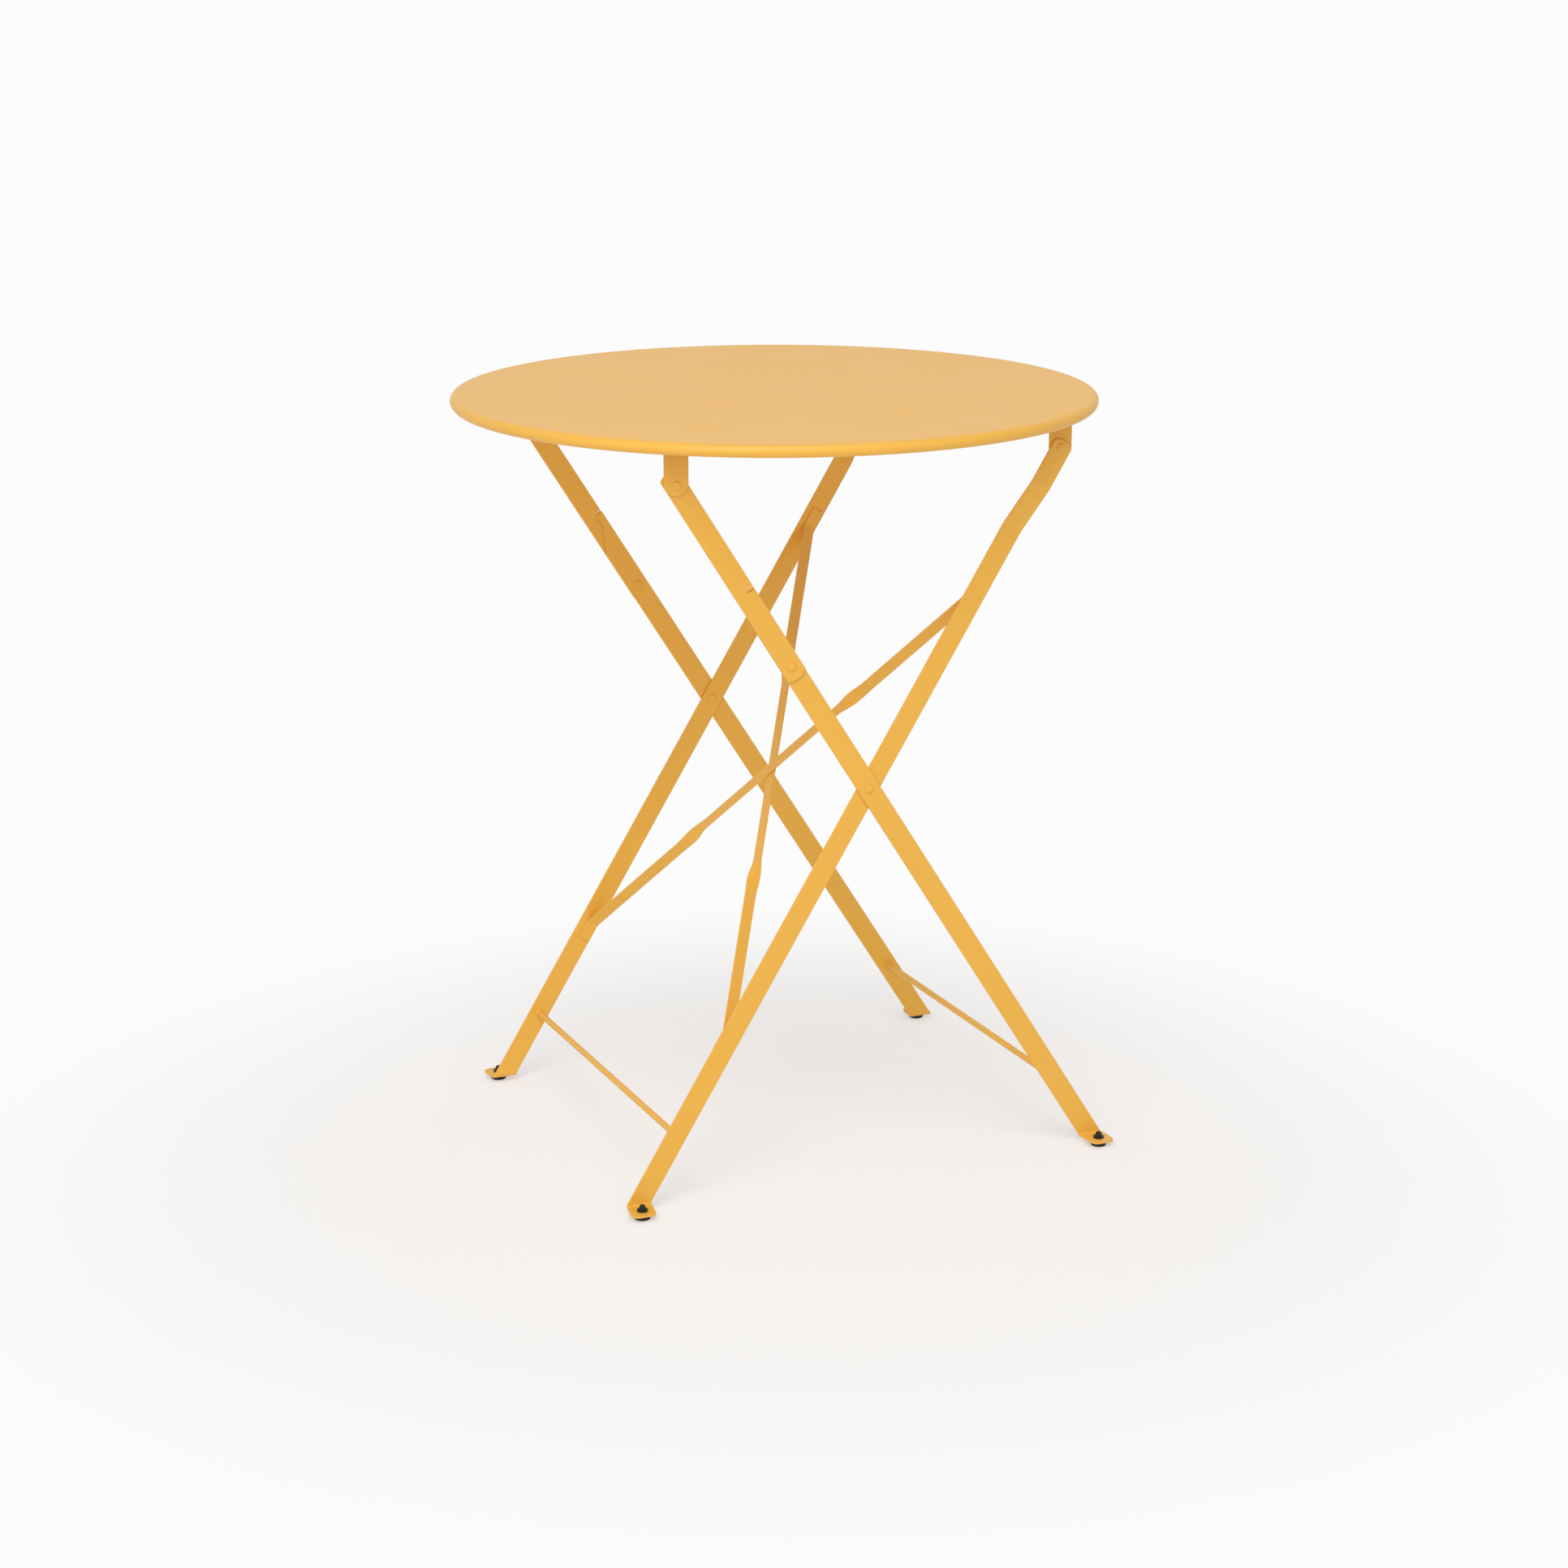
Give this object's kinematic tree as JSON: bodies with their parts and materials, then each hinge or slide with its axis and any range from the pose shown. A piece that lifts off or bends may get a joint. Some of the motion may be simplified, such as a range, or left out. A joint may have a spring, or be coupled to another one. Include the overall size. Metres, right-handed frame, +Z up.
{
  "type": "bistro table",
  "caption": "Round folding bistro table of flat steel bar on two crossed leg frames, with a rolled-edge sheet top and a tab-and-notch lock.",
  "frame": {"origin": "on the floor, straight below the centre of the round top, with the table open", "axes": "+Z up, X across the two crossed leg frames with the joggled leg tops at +X, Y along the pivots"},
  "size_m": [0.5999, 0.6, 0.713],
  "materials": {
    "yellow_powder_coat": "satin",
    "black_plastic": "matte"
  },
  "bodies": {
    "inner_frame": {"inner_leg_near": "yellow_powder_coat", "inner_leg_far": "yellow_powder_coat", "brace_near_high": "yellow_powder_coat", "brace_far_high": "yellow_powder_coat", "inner_foot_rod": "yellow_powder_coat", "left_glide_near": "black_plastic", "left_glide_far": "black_plastic", "cross_rivet_near": "yellow_powder_coat", "cross_rivet_far": "yellow_powder_coat", "right_top_rivet_leg_half_near": "yellow_powder_coat", "right_top_rivet_leg_half_far": "yellow_powder_coat"},
    "outer_frame": {"outer_leg_near": "yellow_powder_coat", "outer_leg_far": "yellow_powder_coat", "outer_foot_rod": "yellow_powder_coat", "right_glide_near": "black_plastic", "right_glide_far": "black_plastic", "knee_rivet_near": "yellow_powder_coat", "knee_rivet_far": "yellow_powder_coat"},
    "upper_links": {"upper_link_near": "yellow_powder_coat", "upper_link_far": "yellow_powder_coat", "left_top_rivet_near": "yellow_powder_coat", "left_top_rivet_far": "yellow_powder_coat"},
    "tabletop": {"tabletop": "yellow_powder_coat", "left_top_strap": "yellow_powder_coat", "right_top_strap": "yellow_powder_coat", "right_top_rivet_ear_half_near": "yellow_powder_coat", "right_top_rivet_ear_half_far": "yellow_powder_coat"}
  },
  "joints": [
    {"name": "leg_fold", "type": "hinge", "parent": "inner_frame", "child": "outer_frame", "pos_m": [0.0122, 0, 0.3758], "axis": [0, 1, 0], "range_deg": [0, 57]},
    {"name": "knee_fold", "type": "hinge", "parent": "outer_frame", "child": "upper_links", "pos_m": [-0.06566, 0, 0.49753], "axis": [0, 1, 0], "range_deg": [-116.4, 0]},
    {"name": "top_tilt", "type": "hinge", "parent": "upper_links", "child": "tabletop", "pos_m": [-0.1752, 0, 0.6688], "axis": [0, 1, 0], "range_deg": [0, 32.4]}
  ],
  "couplings": [
    {"joint": "knee_fold", "follows": "leg_fold", "ratio": -2.0404},
    {"joint": "top_tilt", "follows": "leg_fold", "ratio": 0.56806}
  ]
}
